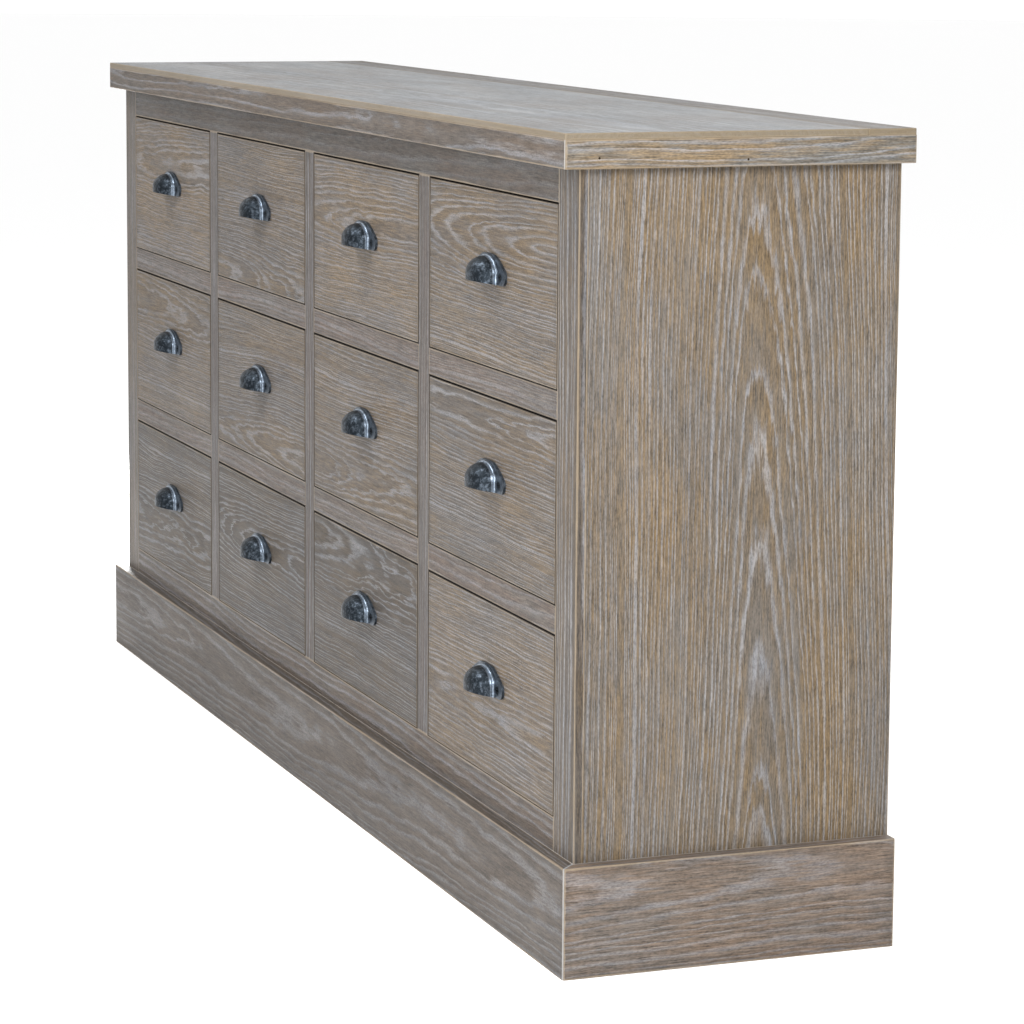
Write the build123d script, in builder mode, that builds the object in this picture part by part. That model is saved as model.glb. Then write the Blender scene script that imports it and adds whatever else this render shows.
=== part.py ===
# Floor-standing chest of twelve drawers in limed oak, with cast-iron cup pulls.
# Millimetres. X to the right, Y to the back, Z up. The origin is on the floor,
# in the middle of the plinth's footprint.

import os
from math import cos, radians, sin

from build123d import *

os.makedirs("parts", exist_ok=True)

# Drawer grid, as the face frame shows it
columns = 4
rows = 3
opening_width = 413.5
opening_height = 202.5
stile_width = 58.5
mullion_width = 38.0
top_rail_height = 40.0
mid_rail_height = 32.0
bottom_rail_height = 37.5

# Carcass
case_depth = 377.0
frame_thick = 20.0
stile_edge = 9.5        # how much of the stile shows on the side of the chest
side_thick = 18.0
partition_thick = 18.0
floor_panel_thick = 12.0
back_thick = 9.0
back_rebate = 9.0       # how far the back is let into each side panel
back_lift = 60.0        # lower edge of the back above the floor
rail_tuck = 30.0        # how far the bottom rail runs down behind the plinth
bevel = 0.5             # eased edge along a glued joint
arris = 1.2             # rounded edge that hands and dusters have worn

# Plinth
plinth_height = 123.0
plinth_proud = 18.0     # thickness of the plinth boards, laid on the carcass
rear_board_thick = 18.0
bearer_thick = 18.0
corner_block_leg = 40.0
corner_block_height = 90.0

# Slab on top
overhang_side = 13.0
overhang_front = 22.0
overhang_back = 11.0
edge_height = 31.0
edge_width = 45.0
sheet_thick = 7.0
back_strip_width = 58.0
seam_bevel = 0.8
slab_corner = 2.5       # corner radius of the sheet, seen from above
mitre_bevel = 1.5       # groove left along an outside mitre

# Runners, guides and what ties the carcass under the slab
bearing_width = 18.0    # part of a runner that lies under a drawer side
guide_height = 20.0
stretcher_thick = 18.0
stretcher_width = 60.0
stop_height = 15.0
stop_length = 27.5
stop_inset = 3.0        # from the guide to the stop block beside it

# Drawers
side_gap = 2.0
top_gap = 2.0
bottom_gap = 0.8
front_proud = 0.3
front_thick = 20.0
box_inset = 1.0         # side of the box behind the end of the front
box_side_thick = 12.0
box_back_thick = 12.0
box_back_drop = 6.0     # the back of the box is lower than its sides
lap_depth = 10.0        # side let into the back of the front
running_gap = 0.4
kicker_gap = 4.1        # from the top of a drawer side to the runner or kicker above
stop_gap = 0.5
box_bottom_thick = 6.0
groove_depth = 6.0
groove_rise = 10.0

# Cup pull
pull_drop = 3.8         # foot of the pull below the middle of the front
pull_half = 53.5
pull_height = 33.4
flange_thick = 3.0
crown_half = 18.0       # nearly flat top of the plate
crown_sag = 0.8         # how much lower the crown's ends are than its middle
shoulder_swell = 0.9    # bulge of the slope from the crown down to the ear
ear_shoulder = 51.0     # where the slope meets the round of the ear
ear_height = 16.0
ear_middle = 9.5       # height where the ear is widest
ear_foot = 44.0         # end of the straight foot
cup_half = 30.0
cup_reach = 27.5
cup_height = 30.5
cup_spring = 11.5       # height where the wall starts to curve over
cup_root = 5.5          # straight part of the cup next to the drawer front
cup_wall = 3.0
bead_out = 2.2          # raised bead round the cup
bead_reach = 6.5
bead_round = 1.8
mouth_low = 0.5         # lower lip of the cup at its root and at its front
mouth_high = 4.0
pull_screw_x = 38.0
pull_screw_z = 9.0
pull_screw_radius = 1.8
pull_head_radius = 3.6
pull_head_depth = 2.2
pull_screw_length = 18.0
pull_hole_clearance = 0.3
slot_width = 1.0
slot_depth = 1.0

# Wood screws of the carcass
screw_radius = 2.0
screw_head_radius = 4.0
screw_head_depth = 2.2
screw_length = 30.0
back_screw_rows = 5
back_screw_margin = 40.0
stretcher_screws = 2

# Places that follow from the sizes
runner_height = mid_rail_height
case_length = columns * opening_width + (columns - 1) * mullion_width + 2 * stile_width
case_height = (
    top_rail_height + rows * opening_height
    + (rows - 1) * mid_rail_height + bottom_rail_height
)
x_side = case_length / 2
y_front = plinth_proud - (case_depth + plinth_proud) / 2
y_back = y_front + case_depth
y_inside = y_front + frame_thick
y_backing = y_back - back_thick
z_slab = plinth_height + case_height
z_sheet = z_slab + edge_height
z_top = z_sheet + sheet_thick
x_slab = x_side + overhang_side
y_slab_front = y_front - overhang_front
y_slab_back = y_back + overhang_back
y_seam = y_slab_back - back_strip_width
y_core = y_slab_front + edge_width
y_stop = y_backing - stop_length
y_box_back = y_stop - stop_gap
lowest_opening = plinth_height + bottom_rail_height
z_floor_panel = lowest_opening - runner_height
y_rear_board = y_backing - rear_board_thick


def opening_left(column):
    return -x_side + stile_width + column * (opening_width + mullion_width)


def opening_low(row):
    return z_slab - top_rail_height - opening_height - row * (opening_height + mid_rail_height)


def bay_left(column):
    """Face that carries the runner on the left of a bay."""
    if column == 0:
        return -x_side + side_thick
    return opening_left(column) - (mullion_width - partition_thick) / 2


def bay_right(column):
    """Face that carries the runner on the right of a bay."""
    if column == columns - 1:
        return x_side - side_thick
    return opening_left(column) + opening_width + (mullion_width - partition_thick) / 2


def partition_middle(number):
    """Middle of the partition on the right of a bay."""
    return opening_left(number) + opening_width + mullion_width / 2


def board(x_low, x_high, y_low, y_high, z_low, z_high, mode=Mode.ADD):
    """A straight board between two corners, inside the block that calls it."""
    middle = ((x_low + x_high) / 2, (y_low + y_high) / 2, (z_low + z_high) / 2)
    with Locations(middle):
        Box(x_high - x_low, y_high - y_low, z_high - z_low, mode=mode)


def save(part, name):
    part.label = name
    export_step(part, f"parts/{name}.step")


# Where the wood screws go. Each plane stands on a screw's head and points out of the wood.
back_screw_x = [partition_middle(number) for number in range(columns - 1)]
back_screw_x += [-x_side + (side_thick + back_rebate) / 2, x_side - (side_thick + back_rebate) / 2]
back_screw_step = (z_slab - back_lift - 2 * back_screw_margin) / (back_screw_rows - 1)
back_screw_planes = [
    Plane(origin=(x, y_back, back_lift + back_screw_margin + step * back_screw_step), z_dir=(0, 1, 0))
    for x in back_screw_x
    for step in range(back_screw_rows)
]
stretcher_y = [y_inside + stretcher_width / 2, y_backing - stretcher_width / 2]
stretcher_screw_planes = [
    Plane(
        origin=(
            bay_left(column) + (bay_right(column) - bay_left(column)) * (number + 0.5) / stretcher_screws,
            y,
            z_slab - stretcher_thick,
        ),
        z_dir=(0, 0, -1),
    )
    for column in range(columns)
    for y in stretcher_y
    for number in range(stretcher_screws)
]


def screw_holes(planes, head=True):
    """Bore for each screw, with its countersink where the head lies in this piece."""
    for plane in planes:
        with Locations(plane.location):
            Cylinder(
                screw_radius, screw_length,
                align=(Align.CENTER, Align.CENTER, Align.MAX), mode=Mode.SUBTRACT,
            )
            if head:
                Cone(
                    screw_radius, screw_head_radius, screw_head_depth,
                    align=(Align.CENTER, Align.CENTER, Align.MAX), mode=Mode.SUBTRACT,
                )


# Side panels: one wide board each, let into the stile in front and rebated for the back
with BuildPart() as side_panel_right:
    board(x_side - side_thick, x_side, y_front + stile_edge, y_back, 0, z_slab)
    board(
        x_side - side_thick, x_side - back_rebate, y_backing, y_back, 0, z_slab,
        mode=Mode.SUBTRACT,
    )
    outer_uprights = side_panel_right.edges().filter_by(Axis.Z).group_by(Axis.X)[-1]
    chamfer(outer_uprights.sort_by(Axis.Y)[0], bevel)
    outer_uprights = side_panel_right.edges().filter_by(Axis.Z).group_by(Axis.X)[-1]
    fillet(outer_uprights.sort_by(Axis.Y)[-1], arris)
    screw_holes(back_screw_planes, head=False)
save(side_panel_right.part, "side_panel_right")

with BuildPart() as side_panel_left:
    mirror(side_panel_right.part, about=Plane.YZ)
save(side_panel_left.part, "side_panel_left")

# Face frame: stiles run to the floor and take the side panels in a rebate
with BuildPart() as stiles:
    board(x_side - stile_width, x_side, y_front, y_inside, 0, z_slab)
    board(
        x_side - side_thick, x_side, y_front + stile_edge, y_inside, 0, z_slab,
        mode=Mode.SUBTRACT,
    )
    corner = stiles.edges().filter_by(Axis.Z).group_by(Axis.X)[-1].sort_by(Axis.Y)[0]
    fillet(corner, arris)
    mirror(about=Plane.YZ)
save(stiles.part, "stiles")

with BuildPart() as top_rail:
    board(-x_side + stile_width, x_side - stile_width, y_front, y_inside, z_slab - top_rail_height, z_slab)
save(top_rail.part, "top_rail")

with BuildPart() as bottom_rail:
    board(
        -x_side + stile_width, x_side - stile_width, y_front, y_inside,
        plinth_height - rail_tuck, lowest_opening,
    )
save(bottom_rail.part, "bottom_rail")

with BuildPart() as mullions:
    for number in range(columns - 1):
        x_left = opening_left(number) + opening_width
        board(x_left, x_left + mullion_width, y_front, y_inside, lowest_opening, z_slab - top_rail_height)
save(mullions.part, "mullions")

with BuildPart() as mid_rails:
    for row in range(rows - 1):
        for column in range(columns):
            x_left = opening_left(column)
            z_high = opening_low(row)
            board(x_left, x_left + opening_width, y_front, y_inside, z_high - mid_rail_height, z_high)
save(mid_rails.part, "mid_rails")

# Inside the carcass: partitions stand on the floor panel behind the mullions
with BuildPart() as partitions:
    for number in range(columns - 1):
        x_middle = partition_middle(number)
        board(
            x_middle - partition_thick / 2, x_middle + partition_thick / 2,
            y_inside, y_backing, z_floor_panel, z_slab,
        )
    screw_holes(back_screw_planes, head=False)
save(partitions.part, "partitions")

with BuildPart() as floor_panel:
    board(
        -x_side + side_thick, x_side - side_thick, y_inside, y_backing,
        z_floor_panel - floor_panel_thick, z_floor_panel,
    )
save(floor_panel.part, "floor_panel")

with BuildPart() as back_panel:
    board(-x_side + back_rebate, x_side - back_rebate, y_backing, y_back, back_lift, z_slab)
    screw_holes(back_screw_planes)
save(back_panel.part, "back_panel")

# Runners carry a drawer on each side and keep the drawer below from tipping
with BuildPart() as drawer_runners:
    for column in range(columns):
        x_left = opening_left(column)
        x_right = x_left + opening_width
        for row in range(rows):
            z_high = opening_low(row)
            z_low = z_high - runner_height
            board(bay_left(column), x_left + bearing_width, y_inside, y_backing, z_low, z_high)
            board(x_right - bearing_width, bay_right(column), y_inside, y_backing, z_low, z_high)
        z_low = z_slab - top_rail_height
        z_high = z_slab - stretcher_thick
        board(bay_left(column), x_left + bearing_width, y_inside, y_backing, z_low, z_high)
        board(x_right - bearing_width, bay_right(column), y_inside, y_backing, z_low, z_high)
save(drawer_runners.part, "drawer_runners")

# Guides keep each drawer in line, and a block at the back of each runner stops it flush
with BuildPart() as drawer_guides:
    for column in range(columns):
        x_left = opening_left(column)
        x_right = x_left + opening_width
        for row in range(rows):
            z_low = opening_low(row)
            board(bay_left(column), x_left, y_inside, y_backing, z_low, z_low + guide_height)
            board(x_right, bay_right(column), y_inside, y_backing, z_low, z_low + guide_height)
            board(
                x_left + stop_inset, x_left + bearing_width,
                y_stop, y_backing, z_low, z_low + stop_height,
            )
            board(
                x_right - bearing_width, x_right - stop_inset,
                y_stop, y_backing, z_low, z_low + stop_height,
            )
save(drawer_guides.part, "drawer_guides")

# Stretchers tie the bays together under the slab, which is screwed down from below
with BuildPart() as top_stretchers:
    for column in range(columns):
        for y in stretcher_y:
            board(
                bay_left(column), bay_right(column),
                y - stretcher_width / 2, y + stretcher_width / 2, z_slab - stretcher_thick, z_slab,
            )
    screw_holes(stretcher_screw_planes)
save(top_stretchers.part, "top_stretchers")

# Plinth: mitred boards laid on the front and sides of the carcass
with BuildPart() as plinth_front:
    with BuildSketch():
        with BuildLine():
            Polyline(
                (-x_side - plinth_proud, y_front - plinth_proud),
                (x_side + plinth_proud, y_front - plinth_proud),
                (x_side, y_front),
                (-x_side, y_front),
                close=True,
            )
        make_face()
    extrude(amount=plinth_height)
    front_face = plinth_front.faces().sort_by(Axis.Y)[0]
    chamfer(front_face.edges().filter_by(Axis.Z), mitre_bevel)
    front_face = plinth_front.faces().sort_by(Axis.Y)[0]
    fillet(front_face.edges().sort_by(Axis.Z)[-1], arris)
save(plinth_front.part, "plinth_front")

with BuildPart() as plinth_right:
    with BuildSketch():
        with BuildLine():
            Polyline(
                (x_side + plinth_proud, y_front - plinth_proud),
                (x_side + plinth_proud, y_back),
                (x_side, y_back),
                (x_side, y_front),
                close=True,
            )
        make_face()
    extrude(amount=plinth_height)
    outer_face = plinth_right.faces().sort_by(Axis.X)[-1]
    chamfer(outer_face.edges().filter_by(Axis.Z).sort_by(Axis.Y)[0], mitre_bevel)
    outer_face = plinth_right.faces().sort_by(Axis.X)[-1]
    fillet(outer_face.edges().sort_by(Axis.Z)[-1], arris)
save(plinth_right.part, "plinth_right")

with BuildPart() as plinth_left:
    mirror(plinth_right.part, about=Plane.YZ)
save(plinth_left.part, "plinth_left")

# Behind the plinth: a rear board, a bearer under each partition and glued corner blocks
with BuildPart() as rear_board:
    board(
        -x_side + side_thick, x_side - side_thick, y_rear_board, y_backing,
        0, z_floor_panel - floor_panel_thick,
    )
    screw_holes(back_screw_planes, head=False)

with BuildPart() as bearers:
    for number in range(columns - 1):
        x_middle = partition_middle(number)
        board(
            x_middle - bearer_thick / 2, x_middle + bearer_thick / 2,
            y_inside, y_rear_board, 0, z_floor_panel - floor_panel_thick,
        )
    screw_holes(back_screw_planes, head=False)

with BuildPart() as corner_blocks:
    with BuildSketch():
        for y_corner, way in ((y_inside, 1), (y_rear_board, -1)):
            with BuildLine():
                Polyline(
                    (x_side - side_thick, y_corner),
                    (x_side - side_thick, y_corner + way * corner_block_leg),
                    (x_side - side_thick - corner_block_leg, y_corner),
                    close=True,
                )
            make_face()
    extrude(amount=corner_block_height)
    mirror(about=Plane.YZ)

plinth_bearers = Compound(children=[rear_board.part, *bearers.part.solids(), *corner_blocks.part.solids()])
save(plinth_bearers, "plinth_bearers")

# Slab: an oak sheet in two boards, laid on a core with mitred edge pieces
with BuildPart() as top_edge_front:
    with BuildSketch(Plane.XY.offset(z_slab)):
        with BuildLine():
            Polyline(
                (-x_slab, y_slab_front),
                (x_slab, y_slab_front),
                (x_slab - edge_width, y_core),
                (-x_slab + edge_width, y_core),
                close=True,
            )
        make_face()
    extrude(amount=edge_height)
    front_face = top_edge_front.faces().sort_by(Axis.Y)[0]
    chamfer(front_face.edges().filter_by(Axis.Z), mitre_bevel)
    front_face = top_edge_front.faces().sort_by(Axis.Y)[0]
    chamfer(front_face.edges().sort_by(Axis.Z)[-1], bevel)
    front_face = top_edge_front.faces().sort_by(Axis.Y)[0]
    fillet(front_face.edges().sort_by(Axis.Z)[0], arris)
save(top_edge_front.part, "top_edge_front")

with BuildPart() as top_edge_right:
    with BuildSketch(Plane.XY.offset(z_slab)):
        with BuildLine():
            Polyline(
                (x_slab, y_slab_front),
                (x_slab, y_slab_back),
                (x_slab - edge_width, y_slab_back),
                (x_slab - edge_width, y_core),
                close=True,
            )
        make_face()
    extrude(amount=edge_height)
    outer_face = top_edge_right.faces().sort_by(Axis.X)[-1]
    chamfer(outer_face.edges().filter_by(Axis.Z).sort_by(Axis.Y)[0], mitre_bevel)
    outer_face = top_edge_right.faces().sort_by(Axis.X)[-1]
    fillet(outer_face.edges().filter_by(Axis.Z).sort_by(Axis.Y)[-1], arris)
    outer_face = top_edge_right.faces().sort_by(Axis.X)[-1]
    chamfer(outer_face.edges().filter_by(Axis.Y).sort_by(Axis.Z)[-1], bevel)
    outer_face = top_edge_right.faces().sort_by(Axis.X)[-1]
    fillet(outer_face.edges().filter_by(Axis.Y).sort_by(Axis.Z)[0], arris)
save(top_edge_right.part, "top_edge_right")

with BuildPart() as top_edge_left:
    mirror(top_edge_right.part, about=Plane.YZ)
save(top_edge_left.part, "top_edge_left")

with BuildPart() as top_core:
    board(-x_slab + edge_width, x_slab - edge_width, y_core, y_slab_back, z_slab, z_sheet)
    screw_holes(stretcher_screw_planes, head=False)
save(top_core.part, "top_core")

with BuildPart() as top_panel:
    board(-x_slab, x_slab, y_slab_front, y_seam, z_sheet, z_top)
    fillet(top_panel.edges().filter_by(Axis.Z).group_by(Axis.Y)[0], slab_corner)
    upper_edges = top_panel.faces().sort_by(Axis.Z)[-1].edges().sort_by(Axis.Y)
    fillet(upper_edges[:-1], arris)
    upper_edges = top_panel.faces().sort_by(Axis.Z)[-1].edges().sort_by(Axis.Y)
    chamfer(upper_edges[-1], seam_bevel)
save(top_panel.part, "top_panel")

with BuildPart() as top_back_strip:
    board(-x_slab, x_slab, y_seam, y_slab_back, z_sheet, z_top)
    fillet(top_back_strip.edges().filter_by(Axis.Z).group_by(Axis.Y)[-1], slab_corner)
    upper_edges = top_back_strip.faces().sort_by(Axis.Z)[-1].edges().sort_by(Axis.Y)
    fillet(upper_edges[1:], arris)
    upper_edges = top_back_strip.faces().sort_by(Axis.Z)[-1].edges().sort_by(Axis.Y)
    chamfer(upper_edges[0], seam_bevel)
save(top_back_strip.part, "top_back_strip")

# Wood screws of the back and of the slab, all of one size, with a cross slot
with BuildPart() as wood_screw:
    Cylinder(screw_radius, screw_length, align=(Align.CENTER, Align.CENTER, Align.MAX))
    Cone(
        screw_radius, screw_head_radius, screw_head_depth,
        align=(Align.CENTER, Align.CENTER, Align.MAX),
    )
    with PolarLocations(0, 2, angular_range=180):
        Box(
            screw_head_radius, slot_width, slot_depth,
            align=(Align.CENTER, Align.CENTER, Align.MAX), mode=Mode.SUBTRACT,
        )

carcass_screws = Compound(
    children=[
        wood_screw.part.solid().moved(plane.location)
        for plane in back_screw_planes + stretcher_screw_planes
    ]
)
save(carcass_screws, "carcass_screws")

# Drawer front, drawn over the middle of its opening, with its foot at zero
front_half = opening_width / 2 - side_gap
front_height = opening_height - top_gap - bottom_gap
y_face = y_front - front_proud
y_front_back = y_face + front_thick
box_half = front_half - box_inset
box_inner = box_half - box_side_thick
box_top = opening_height - kicker_gap
groove_low = running_gap + groove_rise
groove_high = groove_low + box_bottom_thick
pull_foot = bottom_gap + front_height / 2 - pull_drop

with BuildPart() as drawer_front:
    board(-front_half, front_half, y_face, y_front_back, bottom_gap, bottom_gap + front_height)
    fillet(drawer_front.faces().sort_by(Axis.Y)[0].edges(), arris)
    for way in (-1, 1):
        x_ends = sorted((way * box_inner, way * (front_half + arris)))
        board(
            *x_ends, y_front_back - lap_depth, y_front_back, 0, opening_height,
            mode=Mode.SUBTRACT,
        )
        with Locations(Plane(
            origin=(way * pull_screw_x, y_face, pull_foot + pull_screw_z), z_dir=(0, -1, 0),
        ).location):
            Cylinder(
                pull_screw_radius, pull_screw_length - flange_thick,
                align=(Align.CENTER, Align.CENTER, Align.MAX), mode=Mode.SUBTRACT,
            )
    board(
        -box_inner, box_inner, y_front_back - groove_depth, y_front_back,
        groove_low, groove_high, mode=Mode.SUBTRACT,
    )

# Drawer box: grooved sides, a plywood bottom slid in from behind and a low back
with BuildPart() as box_sides:
    board(box_inner, box_half, y_front_back - lap_depth, y_box_back, running_gap, box_top)
    board(
        box_inner, box_inner + groove_depth, y_front_back - lap_depth, y_box_back,
        groove_low, groove_high, mode=Mode.SUBTRACT,
    )
    mirror(about=Plane.YZ)

with BuildPart() as box_bottom:
    board(
        -box_inner - groove_depth, box_inner + groove_depth,
        y_front_back, y_box_back, groove_low, groove_high,
    )
    board(
        -box_inner, box_inner, y_front_back - groove_depth, y_front_back,
        groove_low, groove_high,
    )

with BuildPart() as box_back:
    board(
        -box_inner, box_inner, y_box_back - box_back_thick, y_box_back,
        groove_high, box_top - box_back_drop,
    )

# Cup pull, drawn with its foot at zero against the plane y = 0
dome_reach = cup_reach - cup_root
dome_rise = cup_height - cup_spring
dome_angles = (0, 15, 30, 45, 60, 72, 82)
crown_end = pull_height - crown_sag
shoulder_middle = (
    (crown_half + ear_shoulder) / 2 + shoulder_swell,
    (crown_end + ear_height) / 2 + shoulder_swell,
)


def cup_outline(half, rise, foot):
    """Upright walls with a half oval over them, in the wall plane."""
    with BuildSketch(Plane.XZ) as outline:
        with BuildLine():
            EllipticalCenterArc((0, cup_spring), half, rise, start_angle=0, arc_size=180)
            Polyline((-half, cup_spring), (-half, foot), (half, foot), (half, cup_spring))
        make_face()
    return outline.sketch


def cup_section(half, reach, back, height):
    """Level cut through the cup: straight sides from the wall, closed by a half oval."""
    with BuildSketch(Plane.XY.offset(height)) as section:
        with BuildLine():
            EllipticalCenterArc((0, -cup_root), half, reach, start_angle=180, arc_size=180)
            Polyline((half, -cup_root), (half, back), (-half, back), (-half, -cup_root))
        make_face()
    return section.sketch


def cup_body(half, reach, rise, foot, back):
    """Upright wall up to the spring line, with a dome lofted over it."""
    with BuildPart() as body:
        extrude(cup_section(half, reach, back, foot), amount=cup_spring - foot)
        loft([
            cup_section(
                half * cos(radians(angle)), reach * cos(radians(angle)), back,
                cup_spring + rise * sin(radians(angle)) / sin(radians(dome_angles[-1])),
            )
            for angle in dome_angles
        ])
    return body.part


outer_cup = cup_body(cup_half, dome_reach, dome_rise, 0, 0)
inner_cup = cup_body(
    cup_half - cup_wall, dome_reach - cup_wall, dome_rise - cup_wall, -arris, arris,
)
bead_outline = cup_outline(cup_half + bead_out, dome_rise + bead_out, 0)

with BuildPart() as cup_casting:
    with BuildSketch(Plane.XZ):
        with BuildLine():
            ThreePointArc((-crown_half, crown_end), (0, pull_height), (crown_half, crown_end))
            for way in (-1, 1):
                ThreePointArc(
                    (way * crown_half, crown_end),
                    (way * shoulder_middle[0], shoulder_middle[1]),
                    (way * ear_shoulder, ear_height),
                )
                ThreePointArc(
                    (way * ear_shoulder, ear_height),
                    (way * pull_half, ear_middle),
                    (way * ear_foot, 0),
                )
            Line((-ear_foot, 0), (ear_foot, 0))
        make_face()
    extrude(amount=flange_thick)
    extrude(bead_outline, amount=bead_reach)
    bead_rim = cup_casting.faces().filter_by(Axis.Y).sort_by(Axis.Y)[0].edges()
    fillet(bead_rim.filter_by(Axis.X, reverse=True), bead_round)
    add(outer_cup)
    add(inner_cup, mode=Mode.SUBTRACT)
    with BuildSketch(Plane.YZ):
        with BuildLine():
            Polyline(
                (-flange_thick, 0),
                (-bead_reach, mouth_low),
                (-cup_reach - arris, mouth_high),
                (-cup_reach - arris, -arris),
                (-flange_thick, -arris),
                close=True,
            )
        make_face()
    extrude(amount=pull_half, both=True, mode=Mode.SUBTRACT)
    for way in (-1, 1):
        with Locations(Plane(
            origin=(way * pull_screw_x, -flange_thick, pull_screw_z), z_dir=(0, -1, 0),
        ).location):
            Cylinder(
                pull_screw_radius + pull_hole_clearance, flange_thick,
                align=(Align.CENTER, Align.CENTER, Align.MAX), mode=Mode.SUBTRACT,
            )
            Cone(
                pull_screw_radius + pull_hole_clearance, pull_head_radius + pull_hole_clearance,
                pull_head_depth, align=(Align.CENTER, Align.CENTER, Align.MAX), mode=Mode.SUBTRACT,
            )

with BuildPart() as pull_screws:
    for way in (-1, 1):
        with Locations(Plane(
            origin=(way * pull_screw_x, -flange_thick, pull_screw_z), z_dir=(0, -1, 0),
        ).location):
            Cylinder(
                pull_screw_radius, pull_screw_length,
                align=(Align.CENTER, Align.CENTER, Align.MAX),
            )
            Cone(
                pull_screw_radius, pull_head_radius, pull_head_depth,
                align=(Align.CENTER, Align.CENTER, Align.MAX),
            )
            Box(
                slot_width, 2 * pull_head_radius, slot_depth,
                align=(Align.CENTER, Align.CENTER, Align.MAX), mode=Mode.SUBTRACT,
            )

# One front, box and pull for every opening of the grid
for row in range(rows):
    for column in range(columns):
        place = f"r{row + 1}c{column + 1}"
        middle = Location((opening_left(column) + opening_width / 2, 0, opening_low(row)))
        at_pull = middle * Location((0, y_face, pull_foot))
        save(drawer_front.part.moved(middle), f"drawer_front_{place}")
        box_pieces = [*box_sides.part.solids(), *box_bottom.part.solids(), *box_back.part.solids()]
        save(Compound(children=[piece.moved(middle) for piece in box_pieces]), f"drawer_box_{place}")
        pull_pieces = [*cup_casting.part.solids(), *pull_screws.part.solids()]
        save(Compound(children=[piece.moved(at_pull) for piece in pull_pieces]), f"cup_pull_{place}")
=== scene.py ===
from math import radians, sqrt

import bmesh
import bpy
from mathutils import Euler, Matrix, Vector


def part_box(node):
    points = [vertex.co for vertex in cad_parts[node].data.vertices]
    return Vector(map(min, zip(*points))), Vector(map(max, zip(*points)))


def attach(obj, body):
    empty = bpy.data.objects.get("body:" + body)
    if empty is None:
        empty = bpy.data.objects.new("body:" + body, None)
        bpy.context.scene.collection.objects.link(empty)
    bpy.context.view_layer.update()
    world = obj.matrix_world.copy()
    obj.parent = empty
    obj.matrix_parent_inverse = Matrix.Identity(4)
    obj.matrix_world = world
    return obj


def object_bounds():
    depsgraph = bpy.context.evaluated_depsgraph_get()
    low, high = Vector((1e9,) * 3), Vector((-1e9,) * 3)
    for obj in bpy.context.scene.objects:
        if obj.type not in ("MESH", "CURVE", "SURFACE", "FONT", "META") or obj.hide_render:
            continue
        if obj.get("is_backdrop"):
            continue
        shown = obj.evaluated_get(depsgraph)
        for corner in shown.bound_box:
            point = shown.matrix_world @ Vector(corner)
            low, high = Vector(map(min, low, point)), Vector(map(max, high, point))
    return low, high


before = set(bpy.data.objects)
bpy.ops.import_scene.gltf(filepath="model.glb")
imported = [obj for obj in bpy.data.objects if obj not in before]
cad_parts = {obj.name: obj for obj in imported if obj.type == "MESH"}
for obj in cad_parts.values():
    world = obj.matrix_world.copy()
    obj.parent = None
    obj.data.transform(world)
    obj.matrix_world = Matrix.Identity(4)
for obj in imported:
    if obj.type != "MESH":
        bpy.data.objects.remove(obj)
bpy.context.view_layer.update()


# Plinth boards
# Three boards of solid oak, 18 mm thick, stand round the foot of the case with a narrow ledge on top.
# They are planed, mitred at the two front corners, glued to softwood bearers, then limed and waxed
# with the rest of the chest. White wax is left in the mitres and along the foot of the case.
def linear(colour):
    """Turns an sRGB hex colour into the linear one that a shader wants."""
    parts = [int(colour[i:i + 2], 16) / 255 for i in (1, 3, 5)]
    return (*(c / 12.92 if c <= 0.04045 else ((c + 0.055) / 1.055) ** 2.4 for c in parts), 1)


def add(tree, kind, *values, out=0, inputs=None, **settings):
    """Adds a node with its settings, sets or links its inputs in turn or by name, and gives an output."""
    node = tree.nodes.new(kind)
    for setting, value in settings.items():
        setattr(node, setting, value)
    for socket, value in [*enumerate(values), *(inputs or {}).items()]:
        if isinstance(value, bpy.types.NodeSocket):
            tree.links.new(value, node.inputs[socket])
        elif value is not None:
            node.inputs[socket].default_value = value
    return node.outputs[out] if node.outputs else None


def maths(tree, kind, *values, **settings):
    """One step of arithmetic on numbers."""
    return add(tree, "ShaderNodeMath", *values, operation=kind, **settings)


def vector(tree, kind, *values, scale=None):
    """One step of arithmetic on vectors or colours. Lengths, distances and dot products are numbers."""
    out = "Value" if kind in ("LENGTH", "DISTANCE", "DOT_PRODUCT") else 0
    return add(tree, "ShaderNodeVectorMath", *values, inputs={"Scale": scale}, out=out, operation=kind)


def split(tree, place):
    """The three numbers of a vector or a colour."""
    return add(tree, "ShaderNodeSeparateXYZ", place).node.outputs


def ramp(tree, value, *ends):
    """Takes a number from one range to another: where it starts and ends, then what those become."""
    return add(tree, "ShaderNodeMapRange", value, *ends)


def ease(tree, value, *ends):
    """A ramp with soft ends."""
    return add(tree, "ShaderNodeMapRange", value, *ends, interpolation_type="SMOOTHSTEP")


def mix(tree, share, first, second):
    """Blends two colours, from all of the first at 0 to all of the second at 1."""
    first, second = (linear(colour) if isinstance(colour, str) else colour for colour in (first, second))
    return add(tree, "ShaderNodeMix", share, inputs={6: first, 7: second}, out=2, data_type="RGBA")


def noise(tree, place, reach, detail, roughness=0.5, distortion=0.0, out=0):
    """A random number from 0 to 1 that changes over reach mm, or three such numbers as a colour."""
    return add(tree, "ShaderNodeTexNoise", place, out=out, inputs={
        "Scale": 1 / reach, "Detail": detail, "Roughness": roughness, "Distortion": distortion,
    })


def bump(tree, height, strength, deep):
    """Relief that is drawn and not cut, deep metres from its lowest to its highest."""
    return add(tree, "ShaderNodeBump", strength, deep, inputs={"Height": height}, out="Normal")


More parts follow.
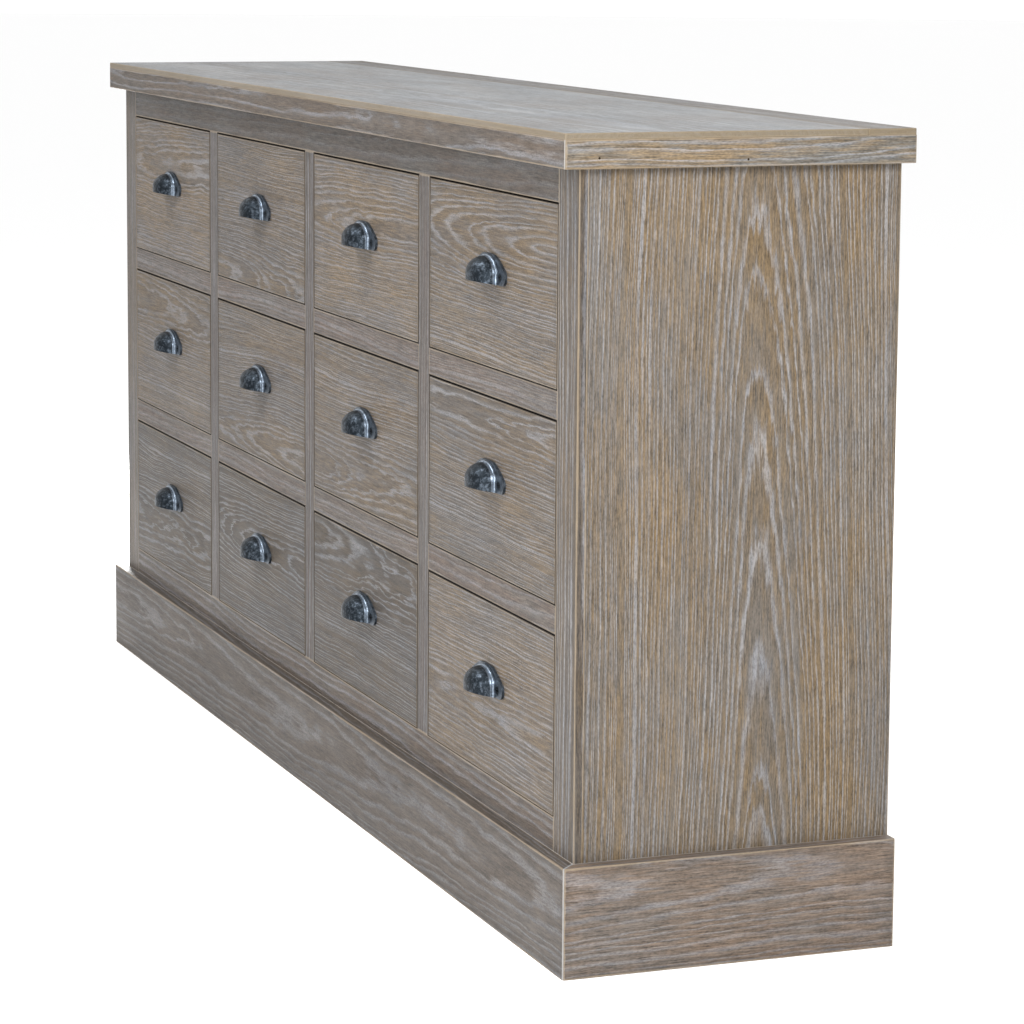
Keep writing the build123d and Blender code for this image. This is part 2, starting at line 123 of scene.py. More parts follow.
def start(name):
    """An empty material, its tree, and places on the piece in mm."""
    material = bpy.data.materials.new(name)
    material.use_nodes = True
    tree = material.node_tree
    tree.nodes.clear()
    place = add(tree, "ShaderNodeTexCoord", out="Object")
    return material, tree, vector(tree, "SCALE", place, scale=1000)


def surface(tree, colour, matt, relief=None, **more):
    """Ends a material's tree: a shader with its colour, its roughness, its relief and whatever else."""
    looks = {"Base Color": colour, "Roughness": matt, "Normal": relief, **more}
    add(tree, "ShaderNodeOutputMaterial", add(tree, "ShaderNodeBsdfPrincipled", inputs=looks))


def dress(node, material):
    """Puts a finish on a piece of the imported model."""
    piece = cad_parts[node]
    if not piece.material_slots:
        piece.data.materials.append(material)
    for place in piece.material_slots:
        place.link = "OBJECT"
        place.material = material


def grain(tree, board, reach, shift, detail, roughness=0.5):
    """Three random numbers as a colour, changing over reach mm along each of a board's own axes."""
    place = add(tree, "ShaderNodeMapping", board, shift, inputs={"Scale": [1 / far for far in reach]})
    return noise(tree, place, 1, detail, roughness, out="Color")


def growth(tree, board, centre, heart, depth, tilt, ring, wave, seed):
    """How far through its year each place of a board grew, from 0 to 1.
    The rings run about the tilted heart of the tree, and are bent by wandering grain, by waves and by
    ragged fibre. They lie closer far from the heart, and dry and wet years are narrow and wide ones."""
    bends = (
        ((130, 620, 130), (34, 0, 26)),
        ((32, wave[1], 32), (wave[0], 0, wave[0] * 1.6)),
        ((4, 32, 4), (1.2, 0, 3.6)),
    )
    sideways, inwards = (sum(far[axis] for _, far in bends) / 2 for axis in (0, 2))
    bent = add(
        tree, "ShaderNodeMapping", vector(tree, "SUBTRACT", board, centre),
        (-heart - sideways, 0, depth - inwards), (radians(tilt), 0, 0),
    )
    for turn, (reach, far) in enumerate(bends):
        wander = grain(tree, board, reach, (seed, turn * 7.3, 0), 1)
        bent = vector(tree, "MULTIPLY_ADD", wander, far, bent)
    radius = vector(tree, "LENGTH", vector(tree, "MULTIPLY", bent, (1, 0, 1)))
    years = maths(tree, "POWER", maths(tree, "DIVIDE", radius, ring), 1.25)
    rain = add(
        tree, "ShaderNodeTexNoise", inputs={"W": years, "Scale": 0.4, "Detail": 1}, noise_dimensions="1D",
    )
    return maths(tree, "FRACT", maths(tree, "MULTIPLY_ADD", rain, 2.4, years))


# The pitch, in metres, of a piece that has no neighbour like itself: further than the chest is long
alone = 9


def fold(tree, mm, middle, pitch):
    """Where a place lies from the middle of its own piece, in mm, in a row of pieces with that pitch."""
    ends = [[m + sign * p * 500 for m, p in zip(middle, pitch)] for sign in (1, -1)]
    return vector(tree, "SUBTRACT", vector(tree, "WRAP", mm, *ends), middle)


def depths(tree, mm, low, high, pitch):
    """How deep a place lies under the faces across X, Y and Z of its board, and how far from an arris.
    An arris is where two faces meet, so that distance is the middle one of the three depths."""
    middle, half = ([(b + sign * a) * 500 for a, b in zip(low, high)] for sign in (1, -1))
    off = vector(tree, "ABSOLUTE", fold(tree, mm, middle, pitch))
    x, y, z = split(tree, vector(tree, "SUBTRACT", half, off))
    less, more = (maths(tree, kind, x, y) for kind in ("MINIMUM", "MAXIMUM"))
    return (x, y, z), maths(tree, "MAXIMUM", less, maths(tree, "MINIMUM", more, z))


def limed_oak(
    name, low, high, along, across, heart, depth, tilt, ring, seed, brown="#584a38", grey="#4e4741",
    wax=0.4, haze=0.34, wave=(4, 70), pitch=(alone, alone, alone), seams=(), gloss=0.5, gaps="", bare="",
    tone=1.0,
):
    """Oak, wire-brushed so that its soft early wood is open, rubbed with white liming wax and worn.
    The eye sees thin blue-white growth rings over brown and grey wood, a fine upright fibre, chalky
    patches where the wax wasn't rubbed off, and tan wood along the arrises.

    low and high are the corners of the board, or of one board of a row with that pitch. The grain runs
    along one axis, and the heart of the tree lies heart mm off the middle in the axis across it and
    depth mm behind it, tilted by some degrees to the board, which draws the pointed arches. The rings
    are ring mm apart, and their waves are wave[0] mm high and wave[1] mm long. Faces across the axes in
    gaps lie in a gap and are painted nearly black there, as painted shade, and those across the axes in
    bare are rubbed to tan wood. seams are lines of wax, gloss is the least roughness, and tone makes the
    bare wood of one plank lighter or darker than another's; on a few boards that is painted shade."""
    material, tree, mm = start(name)

    # The board's own axes: across the grain, along it, and through its thickness
    thick = next(axis for axis in "XYZ" if axis not in (along, across))
    own = ["XYZ".index(axis) for axis in (across, along, thick)]
    axes = split(tree, mm)
    board = add(tree, "ShaderNodeCombineXYZ", *(axes[axis] for axis in own))
    centre = [(low[axis] + high[axis]) * 500 for axis in own]
    season = growth(tree, board, centre, heart, depth, tilt, ring, wave, seed)

    # Fibre and pores: real ones are 0.3 mm wide, drawn 1.2 mm wide and up to 30 mm long so that they show
    fibre = split(tree, grain(tree, board, (1.6, 30, 1.6), (seed, seed, 0), 2, 0.7))
    pores = split(tree, grain(tree, board, (1.2, 4, 1.2), (0, seed, 0), 1))[0]
    strand = split(tree, grain(tree, board, (7, 130, 7), (0, seed, seed), 3, 0.6))
    patches = split(tree, grain(tree, board, (70, 230, 70), (seed, 0, seed), 3, 0.6))

    # The open early wood lies along each ring with soft edges, wider in some places than others
    spread = ramp(tree, strand[0], 0.35, 0.65, 0.16, 0.36)
    ragged = maths(tree, "PINGPONG", maths(tree, "MULTIPLY_ADD", fibre[0], 0.28, season), 0.5)
    early = ease(tree, ragged, 0.02, spread, 1, 0)

    # Brown and grey wood in patches and strands, darker in its pores and in its late wood
    greyed = maths(tree, "MULTIPLY_ADD", strand[1], 0.6, patches[0])
    greyed = maths(tree, "MULTIPLY_ADD", fibre[1], 0.8, greyed)
    wood = mix(tree, ease(tree, greyed, 0.95, 1.45), brown, grey)
    speck = maths(tree, "MULTIPLY_ADD", pores, 0.5, fibre[0])
    shade = ramp(tree, speck, 0.5, 1, 0.4 * tone, 1.6 * tone)
    late = ramp(tree, season, 0.3, 1, 1.03, 0.93)
    wood = vector(tree, "SCALE", wood, scale=maths(tree, "MULTIPLY", shade, late))

    # Chalky haze in patches and beside the rings, and wax packed in the early wood
    beside = ramp(tree, season, 0, 0.5, 1, 0.15)
    chalk = maths(tree, "MULTIPLY", ease(tree, patches[1], 0.42, 0.7, 0.05, haze), beside)
    wood = mix(tree, chalk, wood, "#636669")
    left = maths(tree, "MULTIPLY_ADD", fibre[2], 0.5, maths(tree, "ADD", patches[2], strand[2]))
    left = ramp(tree, left, 0.95, 1.45, wax * 0.3, wax)
    left = maths(tree, "MULTIPLY", left, ramp(tree, pores, 0.3, 0.6, 0.6, 1.15))
    filled = maths(tree, "MULTIPLY", early, left, use_clamp=True)
    wood = mix(tree, filled, wood, mix(tree, patches[2], "#8796ab", "#97928c"))

    # A darker glaze in places near the arrises, which are themselves rubbed to tan wood
    under, arris = depths(tree, mm, low, high, pitch)
    glaze = ease(tree, maths(tree, "MULTIPLY_ADD", strand[0], -16, arris), -8, 6, 0.82, 1)
    wood = vector(tree, "SCALE", wood, scale=glaze)
    rubbed = ease(tree, maths(tree, "MULTIPLY_ADD", strand[1], -4, arris), -1.2, 0.2, 0.4, 0)
    wood = mix(tree, rubbed, wood, "#8f806b")

    # Painted shade, a nearly black brown, on the faces that lie in a gap; tan wood on those that are
    # rubbed bare
    for axis, deep in zip("XYZ", under):
        for faces, colour, share in ((gaps, "#1d1712", 0.9), (bare, "#665a47", 0.75)):
            if axis in faces:
                wood = mix(tree, ramp(tree, deep, 0.5, 1, share, 0), wood, colour)

    # Wax left in a mitre or along a joint: each seam is a direction, a distance in mm and half a width
    for facing, at, wide in seams:
        away = maths(tree, "SUBTRACT", vector(tree, "DOT_PRODUCT", mm, facing), at)
        packed = ease(tree, maths(tree, "ABSOLUTE", away), wide * 0.4, wide, 0.5, 0)
        wood = mix(tree, packed, wood, "#919599")

    # Brushed early wood lies lower, and the wax in it is a little smoother than bare wood
    relief = bump(tree, maths(tree, "MULTIPLY_ADD", early, -0.6, fibre[0]), 0.5, 0.0002)
    matt = ramp(tree, patches[1], 0.3, 0.7, gloss, gloss + 0.14)
    matt = maths(tree, "MULTIPLY_ADD", filled, -0.08, matt)
    surface(tree, wood, matt, relief, IOR=1.45, **{"Specular IOR Level": 0.3})
    return material


def front_mitres(low, high, wide):
    """The seams of wax in the mitres at the right and left front corners of a frame of boards."""
    corner_x, corner_y = high[0] * 1000, low[1] * 1000
    slope = sqrt(0.5)
    return [((side * slope, slope, 0), (corner_x + corner_y) * slope, wide) for side in (1, -1)]


case_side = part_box("side_panel_right")[1][0] * 1000
stile_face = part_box("stiles")[0][1] * 1000
plinth_low, plinth_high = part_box("plinth_front")
mitre_right, mitre_left = front_mitres(plinth_low, plinth_high, 1.3)
# The front board's low tone is painted shade, where the light falls off low down and towards its left end
dress("plinth_front", limed_oak(
    "oak_limed_plinth_front", plinth_low, plinth_high, "X", "Z", heart=20, depth=60, tilt=1.2, ring=15,
    seed=3.1, brown="#4e443b", wax=0.22, haze=0.22,
    seams=(mitre_right, mitre_left, ((0, 1, 0), stile_face, 0.9)), tone=0.66,
))
dress("plinth_left", limed_oak(
    "oak_limed_plinth_left", *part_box("plinth_left"), "Y", "Z", heart=-30, depth=60, tilt=2.0, ring=15,
    seed=9.7, brown="#4e443b", wax=0.26, haze=0.25, seams=(mitre_left, ((1, 0, 0), -case_side, 0.9)),
    tone=0.95,
))
dress("plinth_right", limed_oak(
    "oak_limed_plinth_right", *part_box("plinth_right"), "Y", "Z", heart=35, depth=50, tilt=2.0, ring=13,
    seed=5.3, brown="#594b3f", wax=0.26, haze=0.25, seams=(mitre_right, ((1, 0, 0), case_side, 0.9)),
    tone=1.06,
))


# Blocks and bearers behind the plinth
# Sawn softwood: a rear board, bearers and glued corner blocks that carry the case. Never finished,
# only planed roughly, so it stays a pale yellow with brown late wood and a dry, matt face.
def softwood(name, along, seed, pale="#8b7860", dark="#705a42"):
    """Pine or spruce straight from the planer: even pale rings with darker late wood, and fine saw fur."""
    material, tree, mm = start(name)
    stretch = {"X": (0.12, 1, 1), "Y": (1, 0.12, 1), "Z": (1, 1, 0.12)}[along]
    drawn = add(tree, "ShaderNodeMapping", mm, (seed, seed, 0), inputs={"Scale": stretch})
    across = vector(tree, "DOT_PRODUCT", drawn, (0.8, 0.55, 0.9))
    ring = maths(tree, "MULTIPLY_ADD", noise(tree, drawn, 60, 2), 40, across)
    ring = maths(tree, "FRACT", maths(tree, "DIVIDE", ring, 4))
    wood = mix(tree, ease(tree, ring, 0.55, 1, 0, 0.8), pale, dark)
    fibre = noise(tree, drawn, 1.5, 3)
    wood = vector(tree, "SCALE", wood, scale=ramp(tree, fibre, 0.25, 0.75, 0.86, 1.1))
    matt = ramp(tree, fibre, 0.3, 0.7, 0.62, 0.78)
    surface(tree, wood, matt, bump(tree, fibre, 0.4, 0.0002), IOR=1.5)
    return material


dress("plinth_bearers", softwood("softwood_sawn_bearers", "X", 2.0))


# Side panels
# Two solid oak boards, glued up 18 mm thick with the grain upright, rebated for the back and housed
# behind the stiles. The near one shows a tall run of pointed arches right of its middle.
for side, seed, arch in (("left", 12.4, -30), ("right", 21.7, 24)):
    low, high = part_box(f"side_panel_{side}")
    foot = ((0, 0, 1), low[2] * 1000, 2.2)
    dress(f"side_panel_{side}", limed_oak(
        f"oak_limed_side_{side}", low, high, "Z", "Y", heart=arch, depth=30, tilt=3.6, ring=10,
        seed=seed, brown="#625139", grey="#574f46", wax=0.38, wave=(3, 160), seams=(foot,), tone=0.78,
    ))


# Inside the case
# Floor panel and the thin back are oak-faced plywood; partitions, runners with kickers, guides with
# stop blocks, and the stretchers under the slab are planed softwood, glued in before the face frame.
def plywood(name, along, seed):
    """Rotary-cut ply with one sanded face: a broad, wavy figure in pale oak, hardly any gloss."""
    material, tree, mm = start(name)
    stretch = {"X": (0.1, 1, 1), "Z": (1, 1, 0.1)}[along]
    drawn = add(tree, "ShaderNodeMapping", mm, (seed, 0, seed), inputs={"Scale": stretch})
    broad = noise(tree, drawn, 45, 2, distortion=0.6)
    ring = maths(tree, "PINGPONG", maths(tree, "MULTIPLY", broad, 14), 0.5)
    wood = mix(tree, ease(tree, ring, 0.1, 0.5, 0, 0.7), "#7d6f5c", "#68573f")
    pores = noise(tree, drawn, 1.4, 2)
    wood = vector(tree, "SCALE", wood, scale=ramp(tree, pores, 0.3, 0.7, 0.84, 1.1))
    matt = ramp(tree, pores, 0.3, 0.7, 0.55, 0.7)
    surface(tree, wood, matt, bump(tree, pores, 0.3, 0.0001), IOR=1.5)
    return material


dress("floor_panel", plywood("oak_ply_sanded_floor", "X", 1.0))
dress("back_panel", plywood("oak_ply_sanded_back", "Z", 4.0))
for node, along, seed in (
    ("partitions", "Z", 5.0), ("drawer_runners", "Y", 6.0), ("drawer_guides", "Y", 7.0),
    ("top_stretchers", "Y", 8.0),
):
    dress(node, softwood(f"softwood_planed_{node}", along, seed))


# Face frame
# Stiles and mullions with upright grain, rails with level grain, all 20 mm solid oak, tenoned and
# glued up flat, then limed. The top rail's darker wood with little wax is painted shade under the slab;
# the other rails are simply darker wood than the drawer fronts.
fronts = [[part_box(f"drawer_front_r{row}c{column}") for column in (1, 2, 3, 4)] for row in (1, 2, 3)]
column_pitch = fronts[0][1][0][0] - fronts[0][0][0][0]
row_pitch = fronts[0][0][0][2] - fronts[1][0][0][2]
frame_low, frame_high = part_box("stiles")
stile_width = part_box("top_rail")[0][0] - frame_low[0]
stile_low = (frame_high[0] - stile_width, frame_low[1], frame_low[2])
stile_pitch = 2 * frame_high[0] - stile_width
dress("stiles", limed_oak(
    "oak_limed_stiles", stile_low, frame_high, "Z", "X", heart=40, depth=25, tilt=0.8, ring=13,
    seed=31.3, pitch=(stile_pitch, alone, alone), tone=0.68,
))
# Darker colours, little wax and a lower tone paint the slab's shade on the top rail
dress("top_rail", limed_oak(
    "oak_limed_top_rail", *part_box("top_rail"), "X", "Z", heart=30, depth=40, tilt=0.9, ring=15,
    seed=33.9, brown="#463c34", grey="#47433f", wax=0.12, haze=0.2, tone=0.9,
))
dress("bottom_rail", limed_oak(
    "oak_limed_bottom_rail", *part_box("bottom_rail"), "X", "Z", heart=-35, depth=40, tilt=0.8, ring=15,
    seed=35.1, brown="#4c4036", wax=0.3, tone=0.85,
))
row_low, row_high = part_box("mullions")
mullion_half = (row_high[0] - row_low[0]) / 2 - column_pitch
mullion_low = (-mullion_half, row_low[1], row_low[2])
mullion_high = (mullion_half, row_high[1], row_high[2])
# The mullions' side faces in the gaps beside the drawers carry painted shade, nearly black
dress("mullions", limed_oak(
    "oak_limed_mullions", mullion_low, mullion_high, "Z", "X", heart=30, depth=30, tilt=0.7, ring=11,
    seed=37.7, brown="#4d4139", pitch=(column_pitch, alone, alone), gaps="X", tone=0.66,
))
row_low, row_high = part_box("mid_rails")
rail_half = (row_high[0] - row_low[0] - 3 * column_pitch) / 2
rail_low = (column_pitch / 2 - rail_half, row_low[1], row_low[2])
rail_high = (column_pitch / 2 + rail_half, row_high[1], row_high[2] - row_pitch)
# The mid rails' top and bottom faces in the gaps above and below the drawers carry painted shade, nearly
# black
dress("mid_rails", limed_oak(
    "oak_limed_mid_rails", rail_low, rail_high, "X", "Z", heart=30, depth=30, tilt=1.0, ring=13,
    seed=39.2, brown="#4d4139", wax=0.22, pitch=(column_pitch, alone, row_pitch), gaps="Z", tone=0.95,
))


# Slab
# A 7 mm top sheet of solid oak in two boards, a wide one and a strip along the back, on a softwood
# core. Edge bands 31 mm high close the core below it, mitred at the front corners. The edges of the
# sheet are worn to tan wood.
dress("top_core", softwood("softwood_planed_core", "X", 11.0))
# The top sheet's and back strip's cool grey colours are partly greyed limed oak and partly a painted sheen
# of the white sky on the waxed top
dress("top_panel", limed_oak(
    "oak_limed_top_panel", *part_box("top_panel"), "X", "Y", heart=-60, depth=45, tilt=0.9, ring=18,
    seed=41.8, brown="#57534f", grey="#5f6264", wax=0.3, gloss=0.4, bare="XY", tone=0.88,
))
dress("top_back_strip", limed_oak(
    "oak_limed_top_back_strip", *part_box("top_back_strip"), "X", "Y", heart=20, depth=60, tilt=0.5,
    ring=15, seed=44.5, brown="#4d463e", grey="#524f4c", wax=0.25, bare="XY", tone=0.88,
))
edge_low, edge_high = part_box("top_edge_front")
slab_mitre_right, slab_mitre_left = front_mitres(edge_low, edge_high, 0.5)
dress("top_edge_front", limed_oak(
    "oak_limed_top_edge_front", edge_low, edge_high, "X", "Z", heart=12, depth=35, tilt=0.9, ring=13,
    seed=46.1, brown="#52463b", wax=0.35, seams=(slab_mitre_right, slab_mitre_left), tone=0.82,
))
dress("top_edge_left", limed_oak(
    "oak_limed_top_edge_left", *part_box("top_edge_left"), "Y", "Z", heart=-50, depth=26, tilt=1.4,
    ring=13, seed=48.4, brown="#685843", grey="#5c5954", wax=0.4, haze=0.14, wave=(7, 170),
    seams=(slab_mitre_left,), tone=0.84,
))
dress("top_edge_right", limed_oak(
    "oak_limed_top_edge_right", *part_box("top_edge_right"), "Y", "Z", heart=50, depth=26, tilt=1.4,
    ring=13, seed=52.6, brown="#6b5a42", grey="#5c5954", wax=0.4, haze=0.14, wave=(7, 170),
    seams=(slab_mitre_right,), tone=0.84,
))


# Screws of the case
# Plain slotted wood screws of zinc-plated steel, through the back and up through the stretchers.
def zinc_steel(name):
    """Bright-zinc-plated steel: a pale bluish metal, dulled by a fine white bloom."""
    material, tree, mm = start(name)
    bloom = noise(tree, mm, 2.5, 3)
    tone = mix(tree, bloom, "#8f9396", "#b9bcbd")
    surface(tree, tone, ramp(tree, bloom, 0.3, 0.7, 0.3, 0.5), Metallic=1.0)
    return material


dress("carcass_screws", zinc_steel("zinc_plated_steel"))


# Brads
# Two thin steel brads low in each end band of the slab hold it to the core while the glue sets. Their
# heads are punched about flush and have gone black in the oak, so they show as small dark dots.
def join(tree, *parts):
    """Puts meshes together in one."""
    joined = tree.nodes.new("GeometryNodeJoinGeometry")
    for part in parts:
        tree.links.new(part, joined.inputs[0])
    return joined.outputs[0]


def brad_rows(name):
    """A tree that sets a row of brads along the right end band and the same row on the left one."""
    tree = bpy.data.node_groups.new(name, "GeometryNodeTree")
    tree.interface.new_socket("Brads", in_out="OUTPUT", socket_type="NodeSocketGeometry")
    for title, kind in (
        ("First brad", "Vector"), ("Step", "Vector"), ("Count", "Int"), ("Head radius", "Float"),
        ("Head height", "Float"), ("Shank radius", "Float"), ("Shank length", "Float"),
        ("Lean", "Vector"), ("Seed", "Int"), ("Steel", "Material"),
    ):
        tree.interface.new_socket(title, in_out="INPUT", socket_type=f"NodeSocket{kind}")
    given = add(tree, "NodeGroupInput").node.outputs

    # One brad that points up, its head at the origin and its shank below, then laid along X
    head = add(tree, "GeometryNodeMeshCone", inputs={
        "Vertices": 20, "Depth": given["Head height"], "Radius Bottom": given["Head radius"],
        "Radius Top": maths(tree, "MULTIPLY", given["Head radius"], 0.75),
    })
    shank = add(tree, "GeometryNodeMeshCylinder", inputs={
        "Vertices": 12, "Radius": given["Shank radius"], "Depth": given["Shank length"],
    })
    down = maths(tree, "MULTIPLY", given["Shank length"], -0.5)
    shank = add(tree, "GeometryNodeTransform", shank, inputs={
        "Translation": add(tree, "ShaderNodeCombineXYZ", 0, 0, down),
    })
    brad = join(tree, head, shank)
    brad = add(tree, "GeometryNodeTransform", brad, inputs={"Rotation": (0, radians(90), 0)})

    # A row of them, each driven in a little askew, and the same row turned over for the other end
    row = add(tree, "GeometryNodeMeshLine", inputs={
        "Count": given["Count"], "Start Location": given["First brad"], "Offset": given["Step"],
    })
    against = vector(tree, "SCALE", given["Lean"], scale=-1)
    lean = add(
        tree, "FunctionNodeRandomValue", against, given["Lean"], inputs={"Seed": given["Seed"]},
        data_type="FLOAT_VECTOR",
    )
    right = add(tree, "GeometryNodeInstanceOnPoints", row, inputs={"Instance": brad, "Rotation": lean})
    right = add(tree, "GeometryNodeRealizeInstances", right)
    left = add(tree, "GeometryNodeTransform", right, inputs={"Scale": (-1, 1, 1)})
    left = add(tree, "GeometryNodeFlipFaces", left)
    made = add(tree, "GeometryNodeRealizeInstances", join(tree, left, right))
    made = add(tree, "GeometryNodeSetMaterial", made, inputs={"Material": given["Steel"]})
    add(tree, "NodeGroupOutput", made)
    return tree


def black_steel(name):
    """Mild steel wire that damp oak has turned black: dark and dull, a little brown where it rusts."""
    material, tree, mm = start(name)
    stain = noise(tree, mm, 0.8, 2)
    tone = mix(tree, stain, "#191817", "#33261d")
    matt = ramp(tree, stain, 0.3, 0.7, 0.45, 0.7)
    surface(tree, tone, matt, bump(tree, stain, 0.3, 0.00005), Metallic=1.0)
    return material


# How far the first brad lies behind the front corner and above the band's foot, and the step to the next
band_low, band_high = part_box("top_edge_right")
brad_behind, brad_above = 0.038, 0.0112
brad_apart, brad_drop = 0.171, 0.0037
brad_sizes = {
    "First brad": (band_high[0], band_low[1] + brad_behind, band_low[2] + brad_above),
    "Step": (0, brad_apart, -brad_drop), "Count": 2,
    "Head radius": 0.0013, "Head height": 0.00025, "Shank radius": 0.0006, "Shank length": 0.025,
    "Lean": (0, 0.04, 0.04), "Seed": 4, "Steel": black_steel("brad_steel_blackened"),
}
jig = bpy.data.objects.new("brad_jig", bpy.data.meshes.new("brad_jig"))
bpy.context.scene.collection.objects.link(jig)
setting = jig.modifiers.new("brads", "NODES")
setting.node_group = brad_rows("end_band_brads")
for socket in setting.node_group.interface.items_tree:
    if socket.in_out == "INPUT":
        setting[socket.identifier] = brad_sizes[socket.name]
seen = jig.evaluated_get(bpy.context.evaluated_depsgraph_get())
brads = bpy.data.objects.new("top_edge_brads", bpy.data.meshes.new_from_object(seen))
bpy.context.scene.collection.objects.link(brads)
jig.modifiers.remove(setting)
bpy.data.objects.remove(jig)
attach(brads, "carcass")


# Drawer boxes
# Planed softwood sides and back with a thin ply bottom in a groove, glued and left bare inside.
box_wood = softwood("softwood_planed_drawer_box", "Y", 13.0, pale="#948167", dark="#7a6347")
for row in (1, 2, 3):
    for column in (1, 2, 3, 4):
        dress(f"drawer_box_r{row}c{column}", box_wood)


# Drawer fronts
# Twelve solid oak boards, 20 mm thick, with level grain, each cut from another place of the plank, so
# each has its own figure: some straight, some with open arches. Their arrises are worn to tan wood, and
# their edges in the gaps round them carry painted shade, nearly black.
# figures gives each board's tone, its heart, depth, tilt and rings, and its waves' height and length.
# The low tones of the three left fronts in the bottom row are painted shade, where the light falls off.
figures = {
    (1, 1): (0.95, 40, 40, -1.2, 9, 6, 90), (1, 2): (0.8, -95, 60, 1.5, 8, 4, 90),
    (1, 3): (0.93, 30, 30, -2.2, 9, 6, 80), (1, 4): (0.82, 48, -7, 4.5, 9, 5, 90),
    (2, 1): (0.82, 60, 40, 1.0, 8, 4, 80), (2, 2): (0.75, -80, 45, -2.0, 8, 4, 80),
    (2, 3): (0.78, -60, 60, 1.4, 8, 3, 80), (2, 4): (0.74, 75, 30, -1.4, 8, 5, 90),
    # The next three tones are painted shade of the light falling off at the lower left
    (3, 1): (0.5, -40, 60, 1.5, 8, 6, 110), (3, 2): (0.46, 20, 50, -2.8, 8, 4, 90),
    (3, 3): (0.47, 70, 70, 1.0, 8, 5, 80), (3, 4): (0.85, -30, 30, -2.0, 9, 6, 90),
}
for (row, column), (tone, heart, depth, tilt, ring, *wave) in figures.items():
    low, high = fronts[row - 1][column - 1]
    seed = 60 + row * 7.3 + column * 3.7
    dress(f"drawer_front_r{row}c{column}", limed_oak(
        f"oak_limed_drawer_front_r{row}c{column}", low, high, "X", "Z", heart, depth, tilt, ring, seed,
        wax=0.32, wave=wave, gaps="XZ", tone=tone,
    ))


# Cup pulls
# Sand-cast iron: a shouldered plate and a hollow cup in one piece, blackened and waxed. The grey in the
# cove and on the bead round the cup is metal rubbed bare and also a painted highlight, and the black
# round the screws is painted shade. Two slotted screws hold each to its drawer front.
def cast_iron(name, middle, pitch, screw):
    """Cast iron, blackened and waxed: a nearly black, slightly grainy skin, with blue-grey metal in the
    cove and on the bead round the cup that is partly rubbed bare and partly a painted highlight, faint
    grey patches, and painted shade, nearly black, in the countersinks at the screws.
    middle is the middle of the back of the first pull, and screw lies from there to its right screw."""
    material, tree, mm = start(name)
    mottle = noise(tree, mm, 5, 4, roughness=0.75)
    grit = noise(tree, mm, 1.6, 2)
    x, y, z = split(tree, fold(tree, mm, middle, pitch))

    # Bare metal that is also a painted highlight: more and more of it up the cove, none past the bead, in
    # patches, none round the screws, which keep their painted shade
    cove = ease(tree, y, -3.2, -4.4, 0.3, 1)
    bead = ease(tree, y, -7.5, -9.5, 1, 0)
    bare = maths(tree, "MULTIPLY", cove, bead)
    bare = maths(tree, "MULTIPLY", bare, ramp(tree, mottle, 0.35, 0.6, 0.3, 1))
    bare = maths(tree, "MAXIMUM", bare, ease(tree, mottle, 0.45, 0.68, 0, 0.25))
    beside = add(tree, "ShaderNodeCombineXYZ", maths(tree, "ABSOLUTE", x), 0, z)
    to_screw = vector(tree, "DISTANCE", beside, screw)
    # No highlight round the screws, where the shade in their countersinks is painted
    bare = maths(tree, "MULTIPLY", bare, ease(tree, to_screw, 4, 6.5, 0.08, 1))

    # The pale blue-grey is rubbed metal and also a painted highlight
    tone = mix(tree, bare, "#1f2429", "#8692a0")
    # Painted shade: nearly black in the countersink round each screw
    tone = mix(tree, ramp(tree, to_screw, 3.9, 4.9, 1, 0), tone, "#0b0c0d")
    matt = maths(tree, "MULTIPLY_ADD", bare, -0.14, ramp(tree, grit, 0.3, 0.7, 0.4, 0.56))
    surface(tree, tone, matt, bump(tree, grit, 0.6, 0.00012), Metallic=1.0)
    return material


pull_low, pull_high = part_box("cup_pull_r1c1")
pull_middle = (
    (pull_low[0] + pull_high[0]) * 500, fronts[0][0][0][1] * 1000, (pull_low[2] + pull_high[2]) * 500,
)
# A pull's screws lie 38 mm to each side of its middle and 9 mm above its foot
screw_out, screw_above_foot = 38, 9
screw_up = screw_above_foot - (pull_high[2] - pull_low[2]) * 500
iron = cast_iron(
    "cast_iron_blackened", pull_middle, (column_pitch, alone, row_pitch), (screw_out, 0, screw_up),
)
for row in (1, 2, 3):
    for column in (1, 2, 3, 4):
        dress(f"cup_pull_r{row}c{column}", iron)


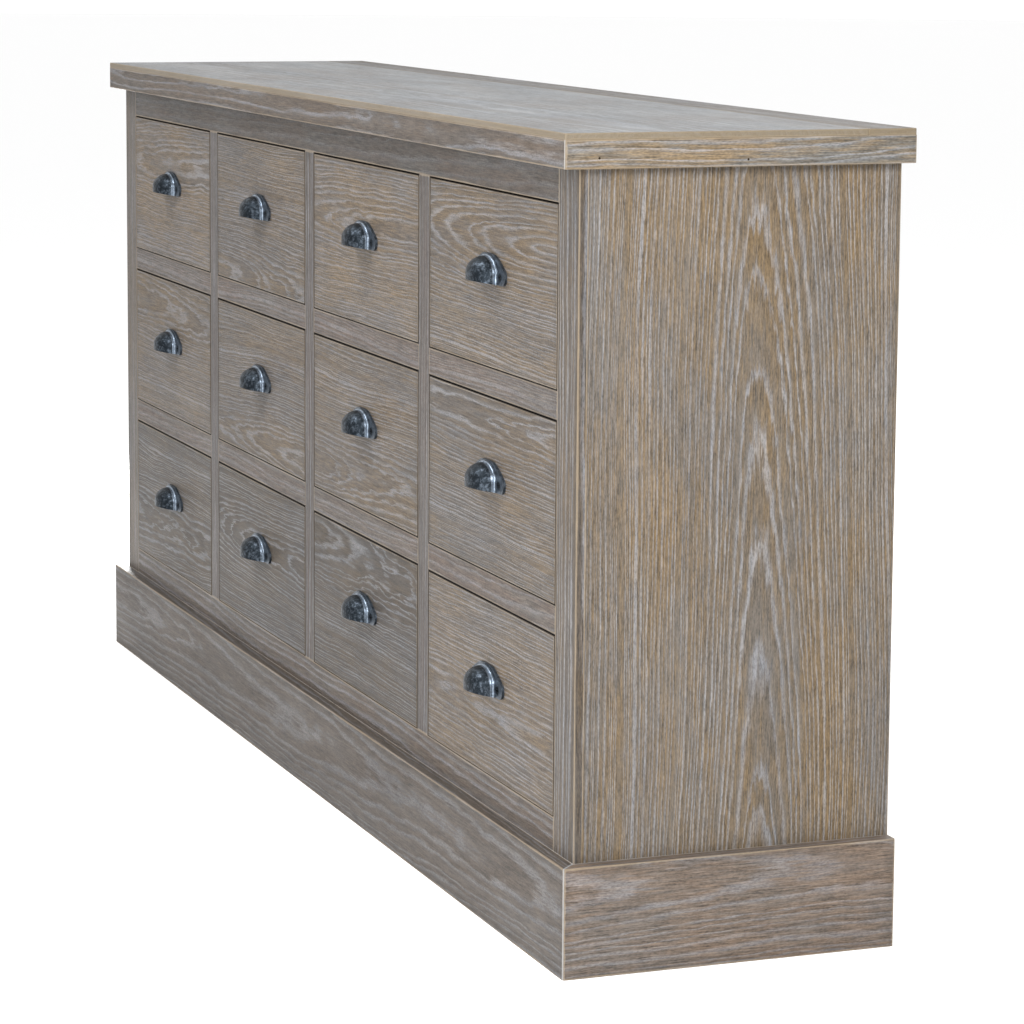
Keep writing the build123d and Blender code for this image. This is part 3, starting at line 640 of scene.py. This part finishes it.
# Floor, light and camera
# A white studio: a matt floor, an even white sky, and five square soft boxes that are placed, aimed and
# sized in metres, with their power in watts. The camera stands where the photographer's did, which was
# worked out from the outline of the chest and the corners of its drawers.
mesh = bpy.data.meshes.new("studio_floor")
shape = bmesh.new()
bmesh.ops.create_circle(shape, cap_ends=True, segments=96, radius=40)
shape.to_mesh(mesh)
shape.free()
floor = bpy.data.objects.new("studio_floor", mesh)
bpy.context.scene.collection.objects.link(floor)
paint = bpy.data.materials.new("matt_white_floor")
paint.use_nodes = True
paint.node_tree.nodes.clear()
surface(paint.node_tree, linear("#f2f2f2"), 0.9)
mesh.materials.append(paint)
floor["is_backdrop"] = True

world = bpy.data.worlds.new("studio")
world.use_nodes = True
world.node_tree.nodes.clear()
sky = {"Color": linear("#ffffff"), "Strength": 1.1}
add(world.node_tree, "ShaderNodeOutputWorld", add(world.node_tree, "ShaderNodeBackground", inputs=sky))
bpy.context.scene.world = world
bpy.context.scene.view_settings.view_transform = "Standard"

for name, spot, aim, size, power in (
    ("near_soft_box", (1.75, -1.4, 0.75), (0.8, -0.1, 0.6), 0.8, 22),
    ("high_soft_box", (2.6, -0.4, 1.9), (0.94, 0, 0.6), 0.9, 56),
    ("front_soft_box", (-0.1, -1.5, 2.9), (-0.1, 0, 0.6), 1.1, 62),
    ("back_soft_box", (-2.6, 3.4, 2.4), (0, 0, 0.5), 2.4, 60),
    ("left_soft_box", (-2.9, 0.4, 0.5), (-0.94, 0, 0.5), 0.7, 60),
):
    lamp = bpy.data.lights.new(name, "AREA")
    lamp.size = size
    lamp.energy = power
    light = bpy.data.objects.new(name, lamp)
    light.location = spot
    light.visible_camera = False
    light.rotation_euler = (Vector(aim) - Vector(spot)).to_track_quat("-Z", "Y").to_euler()
    bpy.context.scene.collection.objects.link(light)

lens = bpy.data.cameras.new("photo_camera")
lens.sensor_width = 36
lens.lens = 124.12
lens.shift_y = -0.109
lens.clip_start, lens.clip_end = 0.05, 200
camera = bpy.data.objects.new("photo_camera", lens)
bpy.context.scene.collection.objects.link(camera)
stand = (4.3781, -1.5567, 1.1241)
azimuth, elevation, roll = radians(69.228), radians(7.662), radians(0.408)
upright = Euler((radians(90) - elevation, 0, azimuth), "XYZ").to_matrix()
turned = upright @ Matrix.Rotation(roll, 3, "Z")
camera.matrix_world = Matrix.Translation(stand) @ turned.to_4x4()
bpy.context.scene.camera = camera

low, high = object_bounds()
